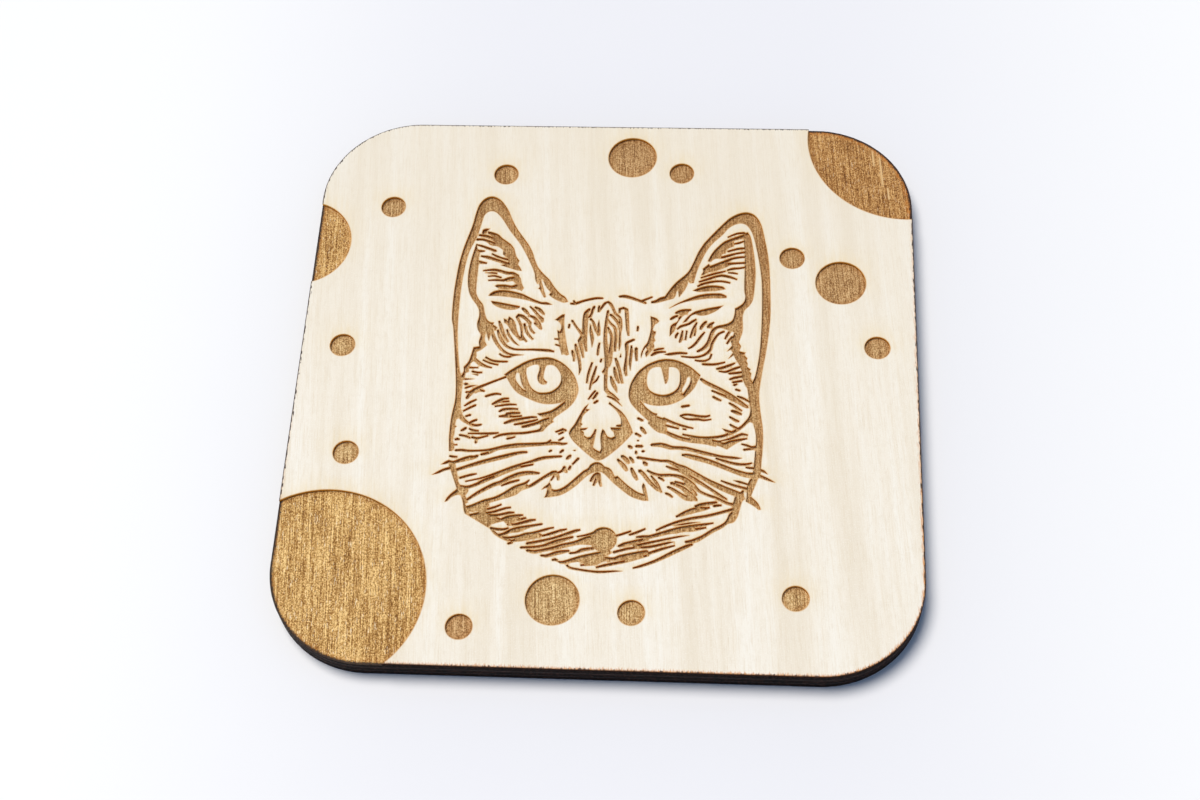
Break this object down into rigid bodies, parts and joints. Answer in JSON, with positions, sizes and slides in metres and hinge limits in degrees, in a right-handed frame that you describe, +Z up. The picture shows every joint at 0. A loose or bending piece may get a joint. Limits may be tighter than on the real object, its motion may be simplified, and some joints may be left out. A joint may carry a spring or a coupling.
{
  "type": "engraved drinks coaster",
  "caption": "Square plywood drinks coaster with rounded corners and a laser-engraved cat's head and dots; a cup stands on its flat face.",
  "frame": {"origin": "centre of the underside, where the coaster rests on a table", "axes": "+Z up through the plies, +Y towards the top of the engraved picture and along the face grain, +X to the picture's right"},
  "size_m": [0.1, 0.1, 0.004],
  "materials": {
    "face_veneer": "bare sanded birch, laser-engraved",
    "core_veneer": "charred at the laser-cut edge",
    "back_veneer": "bare sanded birch",
    "glue_film": "cured resin"
  },
  "bodies": {
    "root": {"face_veneer": "face_veneer", "upper_glue_line": "glue_film", "core_veneer": "core_veneer", "lower_glue_line": "glue_film", "back_veneer": "back_veneer"}
  },
  "joints": []
}
